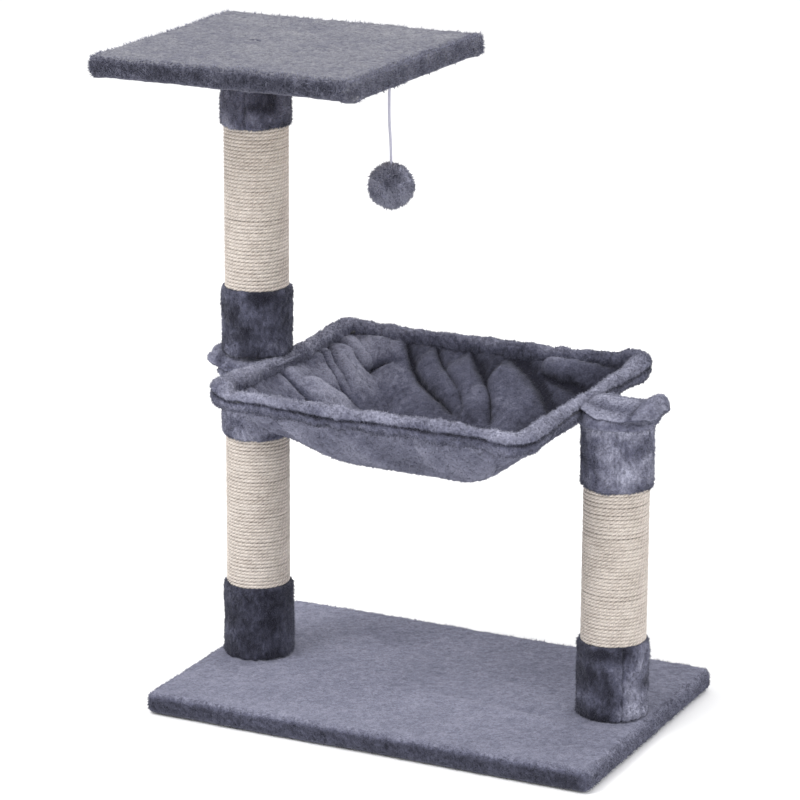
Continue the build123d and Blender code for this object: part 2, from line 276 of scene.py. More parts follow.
def smoothstep(low, high, value):
    t = np.clip((value - low) / (high - low), 0, 1)
    return t * t * (3 - 2 * t)


# ---------------------------------------------------------------- materials
def noise_node(nodes, links, where, scale, detail=3.0, roughness=0.55):
    node = nodes.new("ShaderNodeTexNoise")
    node.inputs["Scale"].default_value = scale
    node.inputs["Detail"].default_value = detail
    node.inputs["Roughness"].default_value = roughness
    links.new(where, node.inputs["Vector"])
    return node.outputs["Fac"]


def ramp_node(nodes, links, value, stops):
    node = nodes.new("ShaderNodeValToRGB")
    ramp = node.color_ramp
    while len(ramp.elements) < len(stops):
        ramp.elements.new(0.5)
    for element, (place, color) in zip(ramp.elements, stops):
        element.position = place
        element.color = (*color, 1)
    links.new(value, node.inputs["Fac"])
    return node.outputs["Color"]


def multiply_node(nodes, links, first, second, amount):
    node = nodes.new("ShaderNodeMix")
    node.data_type = "RGBA"
    node.blend_type = "MULTIPLY"
    node.inputs["Factor"].default_value = amount
    links.new(first, node.inputs["A"])
    links.new(second, node.inputs["B"])
    return node.outputs["Result"]


def start_material(name, roughness, metallic=0.0):
    material = bpy.data.materials.new(name)
    material.use_nodes = True
    nodes, links = material.node_tree.nodes, material.node_tree.links
    shader = nodes["Principled BSDF"]
    shader.inputs["Roughness"].default_value = roughness
    shader.inputs["Metallic"].default_value = metallic
    where = nodes.new("ShaderNodeTexCoord").outputs["Object"]
    return material, nodes, links, shader, where


def add_bump(nodes, links, shader, height, strength, distance):
    bump = nodes.new("ShaderNodeBump")
    bump.inputs["Strength"].default_value = strength
    bump.inputs["Distance"].default_value = distance
    links.new(height, bump.inputs["Height"])
    links.new(bump.outputs["Normal"], shader.inputs["Normal"])


def napped_material(name, stops, roughness, sheen, grain_scale, bump=0.0012):
    """Plush or twine: coloured by its painted nap, light and shade, then by fine fibres, with a soft sheen.
    """
    material, nodes, links, shader, where = start_material(name, roughness)
    shader.inputs["Specular IOR Level"].default_value = 0.15
    shader.inputs["Sheen Weight"].default_value = sheen
    shader.inputs["Sheen Roughness"].default_value = 0.5
    shader.inputs["Sheen Tint"].default_value = (0.75, 0.77, 0.9, 1)
    # The nap layer read here holds painted light and shade as well as the nap's own tone.
    painted = nodes.new("ShaderNodeAttribute")
    painted.attribute_name = "nap"
    color = ramp_node(nodes, links, painted.outputs["Fac"], stops)
    fibres = noise_node(nodes, links, where, grain_scale, 3.0, 0.7)
    shade = ramp_node(nodes, links, fibres, [(0.36, (0.46, 0.46, 0.49)), (0.60, (1, 1, 1))])
    links.new(multiply_node(nodes, links, color, shade, 0.85), shader.inputs["Base Color"])
    add_bump(nodes, links, shader, fibres, 1.0, bump)
    return material


def yarn_material(name, pale, dark, scale, bump):
    """Cord or thread: fine twisted fibres of nearly one colour."""
    material, nodes, links, shader, where = start_material(name, 0.8)
    strands = noise_node(nodes, links, where, scale, 4.0, 0.7)
    links.new(ramp_node(nodes, links, strands, [(0.3, dark), (0.55, pale)]), shader.inputs["Base Color"])
    add_bump(nodes, links, shader, strands, 0.5, bump)
    return material


def board_material(name, dark, light, scale):
    """Pressed chips or paper: coarse flecks over a fine grain."""
    material, nodes, links, shader, where = start_material(name, 0.85)
    cells = nodes.new("ShaderNodeTexVoronoi")
    cells.inputs["Scale"].default_value = scale
    links.new(where, cells.inputs["Vector"])
    flecks = ramp_node(nodes, links, cells.outputs["Distance"], [(0.1, dark), (0.65, light)])
    fine_noise = noise_node(nodes, links, where, scale * 3)
    fine = ramp_node(nodes, links, fine_noise, [(0.3, (0.7,) * 3), (0.65, (1,) * 3)])
    links.new(multiply_node(nodes, links, flecks, fine, 0.8), shader.inputs["Base Color"])
    add_bump(nodes, links, shader, cells.outputs["Distance"], 0.3, 0.0006)
    return material


def metal_material(name, dark, light, roughness, metallic=1.0):
    """Plated or painted steel with faint rubbed patches."""
    material, nodes, links, shader, where = start_material(name, roughness, metallic)
    rubbed = noise_node(nodes, links, where, 160, 4.0, 0.6)
    links.new(ramp_node(nodes, links, rubbed, [(0.35, dark), (0.65, light)]), shader.inputs["Base Color"])
    add_bump(nodes, links, shader, noise_node(nodes, links, where, 700), 0.15, 0.0003)
    return material


PLUSH_STOPS = [(0.0, (0.020, 0.020, 0.033)), (0.45, (0.122, 0.125, 0.182)), (1.0, (0.41, 0.415, 0.52))]
plush = napped_material("plush", PLUSH_STOPS, 0.95, 0.22, 560)
GREY_STOPS = [PLUSH_STOPS[0], (0.45, (0.126, 0.127, 0.166)), (1.0, (0.37, 0.37, 0.375))]
grey_plush = napped_material("grey_plush", GREY_STOPS, 0.95, 0.12, 560)
SISAL_STOPS = [(0.0, (0.28, 0.225, 0.185)), (0.35, (0.66, 0.59, 0.525)), (1.0, (0.92, 0.85, 0.775))]
sisal = napped_material("sisal", SISAL_STOPS, 0.8, 0.05, 1100, 0.0005)
cord_yarn = yarn_material("cord_yarn", (0.47, 0.47, 0.57), (0.31, 0.31, 0.40), 900, 0.0003)
chipboard = board_material("chipboard", (0.36, 0.25, 0.15), (0.60, 0.46, 0.30), 420)
tube_paper = board_material("tube_paper", (0.10, 0.075, 0.055), (0.19, 0.15, 0.115), 900)
plug_wood = board_material("plug_wood", (0.50, 0.36, 0.21), (0.66, 0.50, 0.32), 200)
zinc = metal_material("zinc", (0.42, 0.43, 0.44), (0.62, 0.63, 0.64), 0.32)
staple_wire = metal_material("staple_wire", (0.36, 0.37, 0.38), (0.55, 0.56, 0.57), 0.38)
black_paint = metal_material("black_paint", (0.025, 0.026, 0.028), (0.05, 0.05, 0.055), 0.45, 0.0)

CAD_FINISH = {
    "board": chipboard,
    "tube": tube_paper,
    "plug": plug_wood,
    "insert": zinc,
    "zinc": zinc,
    "staple_wire": staple_wire,
    "frame_wire": black_paint,
    "cord": cord_yarn,
}
for entry in frame["record"]["subparts"]:
    finish = CAD_FINISH.get(entry["material_slot"])
    if finish:
        node = frame["nodes"][entry["node"]]
        node.data.materials.clear()
        node.data.materials.append(finish)


# ---------------------------------------------------------------- plush covers of the boards
def plan_grid(count_x, count_y, half_x, half_y, radius):
    """Points over a rectangle with round corners: its corner squares are pressed into quarter discs."""
    x, y = np.meshgrid(np.linspace(-half_x, half_x, count_x + 1), np.linspace(-half_y, half_y, count_y + 1))
    p = np.clip((np.abs(x) - (half_x - radius)) / radius, 0, 1)
    q = np.clip((np.abs(y) - (half_y - radius)) / radius, 0, 1)
    new_p, new_q = p * np.sqrt(1 - q * q / 2), q * np.sqrt(1 - p * p / 2)
    return x + np.sign(x) * (new_p - p) * radius, y + np.sign(y) * (new_q - q) * radius


def outline(grid):
    """The border of a grid, anticlockwise from its first corner."""
    return np.concatenate([grid[0, :-1], grid[:-1, -1], grid[-1, :0:-1], grid[:0:-1, 0]])


def board_cover(name, node, board_node, step, corner, spread, depth, seed, surface):
    """A closed plush skin: top, rounded sides, the fold under the board, and the face against the board."""
    low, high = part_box(node)
    board_low, board_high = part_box(board_node)
    middle = (low + high) / 2
    half_x, half_y = (high.x - low.x) / 2 + spread, (high.y - low.y) / 2 + spread
    top, bottom = high.z - 0.001, low.z + 0.0006
    edge, lower_edge = 0.0085, 0.0065
    count_x, count_y = round(2 * half_x / step), round(2 * half_y / step)

    def ring(inset, z):
        x, y = plan_grid(count_x, count_y, half_x - inset, half_y - inset, max(corner - inset, 0.006))
        flat = np.stack([outline(x), outline(y)], 1)
        return np.column_stack([flat, np.full(len(flat), z)])

    grid_x, grid_y = plan_grid(count_x, count_y, half_x - edge, half_y - edge, max(corner - edge, 0.006))
    cap = np.column_stack([grid_x.ravel(), grid_y.ravel(), np.full(grid_x.size, top)])
    arc = max(4, round(edge * math.pi / 2 / step))
    rings = [ring(edge * (1 - math.sin(t)), top - edge * (1 - math.cos(t))) for t in arc_steps(0, 90, arc)]
    side_steps = max(1, round((top - bottom - edge - lower_edge) / step))
    for z in np.linspace(top - edge, bottom + lower_edge, side_steps + 1)[1:]:
        rings.append(ring(0, z))
    for t in arc_steps(0, 90, arc):
        rings.append(ring(lower_edge * (1 - math.cos(t)), bottom + lower_edge * (1 - math.sin(t))))
    fold = 0.038
    for inset in np.linspace(lower_edge, fold, round((fold - lower_edge) / step) + 1)[1:]:
        rings.append(ring(inset, bottom))
    outer_rings = len(rings)
    gap = 0.0002
    side = half_x - (board_high.x - board_low.x) / 2 - gap
    rings.append(ring(fold, board_low.z - gap))
    rings.append(ring(side + 0.004, board_low.z - gap))
    rings.append(ring(side, board_low.z - gap))
    rings.append(ring(side, board_high.z + gap))
    around = len(rings[0])
    points = np.concatenate([cap] + rings)

    index = np.arange(grid_x.size).reshape(grid_x.shape)
    faces = grid_faces(index)
    loops = [outline(index)] + [np.arange(around) + cap.shape[0] + k * around for k in range(len(rings))]
    for inner, outer in zip(loops, loops[1:]):
        for a in range(around):
            b = (a + 1) % around
            faces.append((inner[a], outer[a], outer[b], inner[b]))
    faces.append(tuple(loops[-1][::-1]))

    obj = new_mesh(name, points + np.array([middle.x, middle.y, 0]), whole(faces))
    pressed = smoothstep(bottom + 0.001, bottom + 0.006, points[:, 2])
    amount = 0.2 + 0.8 * pressed
    local = points_of(obj) - np.array([middle.x, middle.y, 0])
    inside_from = cap.shape[0] + outer_rings * around
    amount[inside_from:] = 0
    extra, tone = surface(local, top, half_x, half_y)
    extra[inside_from:] = 0
    grow_pile(obj, depth, (1, 1, 1), seed, tone, 0.05, 0.05, amount, extra)
    moved = points_of(obj)
    moved[:, 2] = np.maximum(moved[:, 2], low.z + 0.0001)
    put_points(obj, moved)
    return obj


def painted_light_by_side(local, top, flat_tone, shaded_side_tone, lit_right_tone, half_x):
    """Painted light and shade: the plush is painted lighter on top and on the right, where the light falls,
    and darker on the other sides and underneath.
    """
    side = shaded_side_tone + (lit_right_tone - shaded_side_tone) * smoothstep(half_x - 0.010, half_x - 0.004, local[:, 0])
    return side + (flat_tone - side) * smoothstep(top - 0.0075, top - 0.0015, local[:, 2])


def base_surface(local, top, half_x, half_y):
    """Soft waves of the base's plush, and shallow ridges beside the short post."""
    waves = 0.0006 * grain(local, 0.07, 11)
    lengthways = local[:, 1] + 0.050 + 0.10 * (local[:, 0] - 0.1)
    ridge = np.exp(-((lengthways / 0.007) ** 2)) - 0.8 * np.exp(-(((lengthways - 0.014) / 0.007) ** 2))
    reach = smoothstep(-0.02, 0.08, local[:, 0]) * (1 - smoothstep(0.15, 0.2, local[:, 0]))
    # Painted light and shade: lighter on top and on the right, darker on the other sides, and the ridges
    # painted lighter with their dips darker.
    tone = painted_light_by_side(local, top, 0.61, 0.16, 0.42, half_x)
    tone = tone + 0.05 * ridge * reach + 0.07 * grain(local, 0.11, 13)
    return waves + 0.0013 * ridge * reach, tone


def platform_surface(local, top, half_x, half_y):
    """Soft waves of the platform's plush, fuller corners, and the slit over the bolt."""
    waves = 0.0006 * grain(local, 0.05, 17) + 0.0006 * grain(local, (0.007, 0.003, 0.003), 18)
    corners = smoothstep(0.86, 1.0, np.minimum(np.abs(local[:, 0]) / half_x, np.abs(local[:, 1]) / half_y))
    bolt_low, bolt_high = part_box("platform_bolt")
    cover_low, cover_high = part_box("platform_cover")
    slit_x = local[:, 0] - (bolt_low.x + bolt_high.x - cover_low.x - cover_high.x) / 2
    bow = local[:, 1] - 0.0010 + 30 * slit_x**2
    slit = np.exp(-((bow / 0.0019) ** 2)) * (np.abs(slit_x) < 0.0068) * (local[:, 2] > top - 0.002)
    # Painted light and shade: lighter on top and on the right, darker on the other sides, and the slit over
    # the bolt painted dark as shade.
    tone = painted_light_by_side(local, top, 0.60, 0.36, 0.52, half_x) - 0.9 * slit
    on_side = local[:, 2] < top - 0.004
    far_corner = smoothstep(0.80, 1.0, local[:, 0] / half_x) * smoothstep(0.80, 1.0, local[:, 1] / half_y)
    tone = tone + on_side * 0.16 * grain(local, (0.022, 0.022, 0.03), 19)
    fuller_right = 0.0028 * smoothstep(0.9, 1.0, local[:, 0] / half_x)
    thinner_left = 0.0010 * smoothstep(0.9, 1.0, -local[:, 0] / half_x)
    puff = 0.0026 * corners + 0.0026 * far_corner + fuller_right - thinner_left
    return waves + puff * on_side - 0.0040 * slit, tone


def at_edges(low, high, inset):
    """Tufts stand thick round a cover's edge; none grow on its flat top or underneath."""

    def share(centre, normal):
        past_end = np.abs(centre[:, 0] - (low.x + high.x) / 2) - (high.x - low.x) / 2
        side = np.maximum(past_end, low.y - centre[:, 1])
        side = np.maximum(side, centre[:, 1] - high.y)
        return smoothstep(-inset, -0.002, side) * (normal[:, 2] > -0.5)

    return share


base_cover = board_cover(
    "plush_base_cover",
    "base_cover",
    "base_board",
    step=0.0018,
    corner=0.007,
    spread=0.001,
    depth=0.0010,
    seed=3,
    surface=base_surface,
)
finish_piece(base_cover, plush, "tree", ["base_cover"])
base_edges = at_edges(base_low, base_high, 0.006)
base_tufts = tufts_on(base_cover, 17000, 0.0030, 0.0011, (0, 0, 0), 301, base_edges)
platform_low, platform_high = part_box("platform_cover")
platform_cover = board_cover(
    "plush_platform_cover",
    "platform_cover",
    "platform_board",
    step=0.0014,
    corner=0.009,
    spread=-0.001,
    depth=0.0012,
    seed=29,
    surface=platform_surface,
)
finish_piece(platform_cover, grey_plush, "tree", ["platform_cover"])
platform_edges = at_edges(platform_low, platform_high, 0.007)
platform_tufts = tufts_on(platform_cover, 26000, 0.0040, 0.0011, (0, 0, 0), 302, platform_edges)


# ---------------------------------------------------------------- plush cuffs
def plush_cuff(node, free_end_up, seam_angle, flat_tone, patches, painted_light_angle, painted_light_amount, seed):
    """A plush sleeve with a sewn seam up one side and an uneven free edge."""
    low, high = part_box(node)
    middle = (low + high) / 2
    outer = (high.x - low.x) / 2 - 0.0008
    inner = 0.0302
    tall = high.z - low.z
    around = 208
    edge = 0.0034
    profile = [(inner, 0.0), ((inner + outer) / 2, 0.0), (outer - 0.0015, 0.0)]
    profile += [(outer, z) for z in np.linspace(0.0015, tall - edge, round(tall / 0.00115))]
    turns = arc_steps(0, 90, 6)
    profile += [(outer - edge * (1 - math.cos(t)), tall - edge + edge * math.sin(t)) for t in turns]
    profile += [(inner, tall)]
    angles = np.arange(around) * 2 * math.pi / around
    radii = np.array([p[0] for p in profile])[:, None] * np.ones(around)
    heights = np.array([p[1] for p in profile])[:, None] * np.ones(around)
    if not free_end_up:
        heights = tall - heights
    points = np.stack([np.cos(angles) * radii, np.sin(angles) * radii, heights], -1)
    points += np.array([middle.x, middle.y, low.z])
    faces = tube_faces(len(profile), around, closed_length=True)
    if not free_end_up:
        faces = [tuple(reversed(face)) for face in faces]
    obj = new_mesh(f"plush_{node}", points, faces)

    world = points_of(obj)
    radius = radii.ravel()
    outside = smoothstep(inner + 0.003, outer - 0.002, radius)
    turned = (np.tile(angles, len(profile)) - seam_angle + math.pi) % (2 * math.pi) - math.pi
    seam = np.exp(-(((turned * outer + 0.0006 * np.sin(world[:, 2] * 300)) / 0.0012) ** 2))
    beside_seam = np.exp(-((turned * outer / 0.006) ** 2))
    shape = 0.0008 * grain(world, 0.022, seed + 5) - 0.0020 * seam + 0.0006 * beside_seam
    tone = flat_tone - 0.14 * seam + 0.5 * patches * grain(world, (0.03, 0.03, 0.012), seed + 6)
    # A band round the cuff at one angle is painted lighter, or darker where the amount is negative: painted
    # light and shade.
    away = (np.tile(angles, len(profile)) - painted_light_angle + math.pi) % (2 * math.pi) - math.pi
    tone += painted_light_amount * np.exp(-((away / 0.62) ** 2))
    grow_pile(obj, 0.0013, (1, 1, 1.8), seed, tone, patches, 0.024, outside, shape * outside)
    moved = points_of(obj)
    free = heights.ravel() if free_end_up else tall - heights.ravel()
    near_edge = smoothstep(tall - 0.02, tall, free)
    direction = 1 if free_end_up else -1
    plan = world * (1, 1, 0)
    wave = 0.0011 * grain(plan, 0.02, seed + 7) + 0.0007 * grain(plan, 0.006, seed + 8)
    moved[:, 2] += direction * near_edge * (wave - 0.0005)
    put_points(obj, moved)
    finish_piece(obj, plush, "tree", [node])

    def outside_only(centre, normal):
        return np.hypot(centre[:, 0] - middle.x, centre[:, 1] - middle.y) > outer - 0.003

    tufts = tufts_on(obj, 8000, 0.0030, 0.0010, (0, 0, -0.6), seed + 9, outside_only)


# For each cuff: whether its free end is up, its seam's angle, how light it is, how patchy its nap is, and
# the angle of a band of painted light round the cuff and how much lighter it is there (degrees); a negative
# amount paints shade there instead.
CUFFS = {
    "lower_left_post_foot_cuff": (True, 95, 0.10, 0.14, -100, 0.05),
    "lower_left_post_top_cuff": (False, 150, 0.48, 0.40, -80, 0.14),
    "upper_left_post_foot_cuff": (True, 120, 0.36, 0.36, -58, -0.24),
    "upper_left_post_top_cuff": (False, -81, 0.26, 0.46, -105, 0.12),
    "right_post_foot_cuff": (True, -51, 0.24, 0.40, -22, 0.34),
    "right_post_top_cuff": (False, 140, 0.50, 0.40, -66, 0.34),
}
for number, (cuff_node, settings) in enumerate(CUFFS.items()):
    free_up, seam_degrees, light, patchy, painted_light_degrees, lighter = settings
    turns = math.radians(seam_degrees), math.radians(painted_light_degrees)
    plush_cuff(cuff_node, free_up, turns[0], light, patchy, turns[1], lighter, 40 + 10 * number)


# ---------------------------------------------------------------- rope windings
def rope_winding(node, seed):
    """One rope of three twisted strands, wound up the post, with a few turns left slightly apart."""
    low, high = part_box(node)
    middle = (low + high) / 2
    thick = 0.0044
    pitch = 0.0039
    strand_lay = 0.0144
    turns = round((high.z - low.z) / pitch)
    centre_radius = (high.x - low.x) / 2 - 0.0020
    ring_step = 0.0012
    rings = int(turns * 2 * math.pi * centre_radius / ring_step)
    generator = np.random.default_rng(seed)
    slack = generator.uniform(0.94, 1.0, turns + 2)
    for turn in generator.choice(turns - 2, 5, replace=False) + 1:
        slack[turn] += generator.uniform(0.10, 0.22)
    climbed = np.concatenate([[0], np.cumsum(slack)])
    along = np.linspace(0, turns, rings)
    height = np.interp(along, np.arange(len(climbed)), climbed)
    height = (height - height[0]) / (height[-1] - height[0])
    height = low.z - 0.001 + height * (high.z - low.z + 0.002)
    theta = along * 2 * math.pi + 1.9
    height += 0.00018 * np.sin(3 * theta + seed) + 0.00012 * np.sin(along * 2.3)
    section = np.radians([-105, -75, -45, -15, 15, 45, 75, 105, 150, 210])
    twist = along * 2 * math.pi * centre_radius / strand_lay * 2 * math.pi
    lobes = 0.5 + 0.5 * np.cos(3 * (section[None, :] - twist[:, None]))
    swell = 1 + 0.05 * np.sin(along * 17.0 + seed)
    radius = thick / 2 * (0.66 + 0.40 * lobes) * swell[:, None]
    out = np.cos(section)[None, :] * radius
    up = np.sin(section)[None, :] * radius * 1.08
    distance = centre_radius + out
    points = np.stack(
        [
            middle.x + np.cos(theta)[:, None] * distance,
            middle.y + np.sin(theta)[:, None] * distance,
            height[:, None] + up,
        ],
        -1,
    )
    faces = [tuple(reversed(face)) for face in tube_faces(rings, len(section))]
    obj = new_mesh(f"rope_{node}", points, faces)
    faded = 0.10 * grain(points.reshape(-1, 3), (0.02, 0.02, 0.012), seed + 3)
    flecks = 0.16 * grain(points.reshape(-1, 3), (0.004, 0.004, 0.002), seed + 4)
    # Strands are painted lighter on their crests and darker in the grooves between them: painted highlight
    # and shade.
    paint_nap_and_shade(obj, 0.10 + 0.72 * lobes.ravel() + faded + flecks)
    finish_piece(obj, sisal, "tree", [node])


for number, post in enumerate(("lower_left_post", "right_post", "upper_left_post")):
    rope_winding(f"{post}_sisal", 5 + number)


# ---------------------------------------------------------------- hammock
frame_low, frame_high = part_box("hammock_frame")
RIM_Z = (frame_low.z + frame_high.z) / 2
BAG_FLAT = (0.404, 0.364)
BAG_HALF_LONG, BAG_HALF_WIDE = 0.178, 0.155
SETTLING_FRAMES = 50
# The rim, anticlockwise from the front left: x, y, height over the frame, roll radius, and bulge
# outwards (mm).
RIM = [
    (-180, -122, 2, 13.5, 3),
    (-169, -137, 0, 13.0, 2),
    (-158, -146, -2, 9.5, 0),
    (-141, -149, 0, 11.0, 0),
    (-80, -152, 0, 10.5, 0),
    (0, -155, 0, 10.5, 0),
    (80, -155, 0, 10.5, 0),
    (125, -155, -1, 10.5, 0),
    (150, -152, -4, 11.0, 1),
    (165, -137, -4, 11.5, 1),
    (169, -108, 0, 11.0, 0),
    (170, -66, 2, 9.5, 0),
    (170, -25, 2, 8.5, 0),
    (170, 20, 2, 8.5, 0),
    (171, 60, 3, 9.5, 0),
    (173, 105, 4, 10.5, 0),
    (172, 142, 6, 12.5, 1),
    (161, 155, 5, 12.5, 1),
    (125, 156, 1, 11.0, 0),
    (60, 155, 0, 10.5, 0),
    (-20, 155, 0, 10.5, 0),
    (-110, 155, 0, 10.5, 0),
    (-160, 154, 1, 11.0, 0),
    (-174, 147, 3, 11.5, 2),
    (-178, 110, 2, 10.0, 0),
    (-177, 55, 0, 10.0, 0),
    (-177, 0, 0, 9.5, 0),
    (-177, -55, 1, 10.5, 0),
    (-179, -98, 2, 12.5, 1),
]
# The creases inside the bag: a line from the rim inwards, in half widths, then the half width and height
# (mm) of the round fold of cloth beside it. A negative width puts the fold on the line's other side.
FOLDS = [
    (-0.99, 0.64, -0.77, 0.40, 15, 12),
    (-0.99, 0.48, -0.68, 0.35, 10, 10),
    (-0.93, 0.10, -0.70, 0.33, -15, 11),
    (-0.95, 0.78, -0.60, 0.84, 15, 15),
    (-0.58, 0.99, -0.14, 0.58, -17, 14),
    (-0.34, 0.98, -0.08, 0.66, -12, 8),
    (-0.11, 0.98, 0.16, 0.56, -16, 13),
    (0.13, 0.96, 0.54, 0.70, -26, 16),
    (0.37, 0.95, 0.70, 0.78, 21, 14),
    (0.98, 0.35, 0.62, 0.25, 15, 10),
    (0.98, -0.10, 0.60, -0.12, -17, 10),
    (0.98, -0.50, 0.62, -0.50, 14, 9),
    (-0.98, -0.14, -0.62, -0.02, 14, 10),
    (-0.98, -0.55, -0.62, -0.42, -16, 9),
    (-0.62, -0.98, -0.42, -0.55, 14, 9),
    (-0.20, -0.98, -0.02, -0.50, -16, 10),
    (0.25, -0.98, 0.33, -0.52, 15, 9),
    (0.66, -0.98, 0.66, -0.60, -14, 8),
]


def closed_curve(controls, samples):
    """A smooth closed line through the control rows, with evenly spaced samples."""
    controls = np.array(controls, float)
    count = len(controls)
    fine = np.arange(count * 40) / 40
    index = fine.astype(int)
    t = (fine - index)[:, None]
    a, b, c, d = (controls[(index + k) % count] for k in (-1, 0, 1, 2))
    line = catmull_rom(a, b, c, d, t)
    gaps = np.linalg.norm(np.roll(line, -1, 0)[:, :3] - line[:, :3], axis=1)
    reached = np.concatenate([[0], np.cumsum(gaps)])
    wanted = np.linspace(0, reached[-1], samples, endpoint=False)
    ring = np.vstack([line, line[:1]])
    return np.column_stack([np.interp(wanted, reached, ring[:, k]) for k in range(line.shape[1])])


def rim_line(samples):
    line = closed_curve(RIM, samples) * MM
    line[:, 0] += BASE_MIDDLE.x
    line[:, 2] += RIM_Z
    return line


def hem_roll():
    """The rolled hem round the frame: an uneven plush tube, creased under its top roll and at its seam."""
    samples, around = 1050, 46
    line = rim_line(samples)
    centre, radius, bulge = line[:, :3], line[:, 3], line[:, 4]
    ahead = np.roll(centre, -1, 0) - np.roll(centre, 1, 0)
    ahead[:, 2] = 0
    ahead /= np.linalg.norm(ahead, axis=1)[:, None]
    outward = np.stack([ahead[:, 1], -ahead[:, 0], np.zeros(samples)], 1)
    section = np.arange(around) * 2 * math.pi / around - math.pi
    lumps = np.maximum(1 + 0.12 * grain(centre, 0.030, 71) + 0.17 * grain(centre, 0.012, 72), 0.92)
    sway = 0.30 * grain(centre, 0.045, 73)[:, None]
    crease = np.exp(-(((section[None, :] + 0.12 - sway) / 0.17) ** 2))
    seam = np.exp(-(((section[None, :] + 0.56 * math.pi) / 0.2) ** 2))
    reach = (radius[:, None] * lumps[:, None] - 0.0012) * (1 - 0.26 * crease - 0.16 * seam)
    wide = np.cos(section)[None, :] * reach * 0.95 + np.maximum(np.cos(section), 0)[None, :] * bulge[:, None]
    drop = np.where(np.sin(section) < 0, 1.42, 1.0)
    tall = np.sin(section)[None, :] * reach * drop[None, :]
    points = centre[:, None, :] + outward[:, None, :] * wide[..., None]
    points = points + np.array([0, 0, 1.0]) * tall[..., None]
    faces = [tuple(reversed(face)) for face in tube_faces(samples, around, closed_length=True)]
    obj = new_mesh("hammock_hem", points, faces)
    at_back = smoothstep(0.10, 0.15, centre[:, 1]) * smoothstep(-0.12, 0.0, centre[:, 0] - BASE_MIDDLE.x)
    # Painted light and shade: the roll is painted lighter on top, and darker underneath, in its crease and
    # at its seam. It is also painted darker along the back.
    tone = 0.52 + 0.20 * np.sin(section)[None, :] - 0.50 * crease - 0.35 * seam - 0.22 * at_back[:, None]
    grow_pile(obj, 0.0016, (1, 1, 1), 77, tone.ravel(), 0.16, 0.03)
    finish_piece(obj, plush, "tree", ())
    return obj, tufts_on(obj, 30000, 0.0031, 0.0010, (0, 0, -0.1), 303)


def thick_sheet(name, layer, thickness):
    """A closed sheet either side of a grid of points."""
    normal = grid_normals(layer)
    half = (thickness / 2)[..., None]
    top, bottom = layer + normal * half, layer - normal * half
    other = thickness.size
    index = np.arange(other).reshape(thickness.shape)
    faces = []
    for a, b, c, d in grid_faces(index):
        faces.append((a, b, c, d))
        faces.append((d + other, c + other, b + other, a + other))
    border = outline(index)
    for a, b in zip(border, np.roll(border, -1)):
        faces.append((b, a, a + other, b + other))
    return new_mesh(name, np.concatenate([top.reshape(-1, 3), bottom.reshape(-1, 3)]), whole(faces))


def finer_grid(layer, factor):
    """A grid of points with factor times as many steps each way, on smooth curves through the old points."""
    for axis in (0, 1):
        count = layer.shape[axis]
        place = np.linspace(0, count - 1, (count - 1) * factor + 1)
        index = np.minimum(place.astype(int), count - 2)
        t = (place - index).reshape([-1 if k == axis else 1 for k in range(3)])
        a, b, c, d = (np.take(layer, np.clip(index + k, 0, count - 1), axis) for k in (-1, 0, 1, 2))
        layer = catmull_rom(a, b, c, d, t)
    return layer


def hung_cloth(across, deep):
    """A grid of cloth larger than the rim, pinned along it and let down by a cloth simulation."""
    u, v = np.meshgrid(np.linspace(-1, 1, across + 1), np.linspace(-1, 1, deep + 1))
    rim = rim_line(720)
    square = np.maximum(np.abs(u), np.abs(v))
    angle = np.arctan2(v * 0.150, u * 0.175)
    rim_angle = np.arctan2(rim[:, 1], rim[:, 0] - BASE_MIDDLE.x)
    order = np.argsort(rim_angle)
    edge_x, edge_y, edge_z = (
        np.interp(angle, rim_angle[order], rim[order, k], period=2 * math.pi) for k in range(3)
    )
    inward = 0.985
    x = BASE_MIDDLE.x + (edge_x - BASE_MIDDLE.x) * inward * square
    y = edge_y * inward * square
    bowl = 1 - square**2.4
    round_about = np.stack([np.cos(angle), np.sin(angle), angle * 0], -1).reshape(-1, 3)
    gathers = 0.006 * grain(round_about, 0.22, 61).reshape(u.shape) * square**3 * (1 - square**8)
    z = (edge_z - 0.006) * square + RIM_Z * (1 - square) - 0.085 * bowl + gathers
    start = np.stack([x, y, z], -1)
    faces = grid_faces(np.arange(u.size).reshape(u.shape))
    cloth = new_mesh("cloth_in_work", start, whole(faces))
    rounding = 1 - 0.09 * (u * v) ** 2
    flat_x, flat_y = BASE_MIDDLE.x + u * rounding * BAG_FLAT[0] / 2, v * rounding * BAG_FLAT[1] / 2
    flat = np.stack([flat_x, flat_y, np.full(u.shape, RIM_Z)], -1).reshape(-1, 3)
    cloth.shape_key_add(name="Basis")
    cut = cloth.shape_key_add(name="cut")
    cut.data.foreach_set("co", flat.astype(np.float32).ravel())
    cut.value = 0
    border = cloth.vertex_groups.new(name="border")
    border.add([int(i) for i in np.flatnonzero(square.ravel() > 0.9999)], 1.0, "REPLACE")
    modifier = cloth.modifiers.new("cloth", "CLOTH")
    settings = modifier.settings
    settings.quality = 8
    settings.mass = 0.3
    settings.tension_stiffness = settings.compression_stiffness = 45
    settings.shear_stiffness = 20
    settings.bending_stiffness = 0.6
    settings.tension_damping = settings.compression_damping = 12
    settings.air_damping = 3
    settings.vertex_group_mass = "border"
    settings.rest_shape_key = cut
    modifier.point_cache.frame_end = SETTLING_FRAMES
    for step in range(1, SETTLING_FRAMES + 1):
        bpy.context.scene.frame_set(step)
    settled = cloth.evaluated_get(bpy.context.evaluated_depsgraph_get())
    result = points_of(settled).reshape(start.shape)
    bpy.context.scene.frame_set(1)
    bpy.data.objects.remove(cloth)
    return result


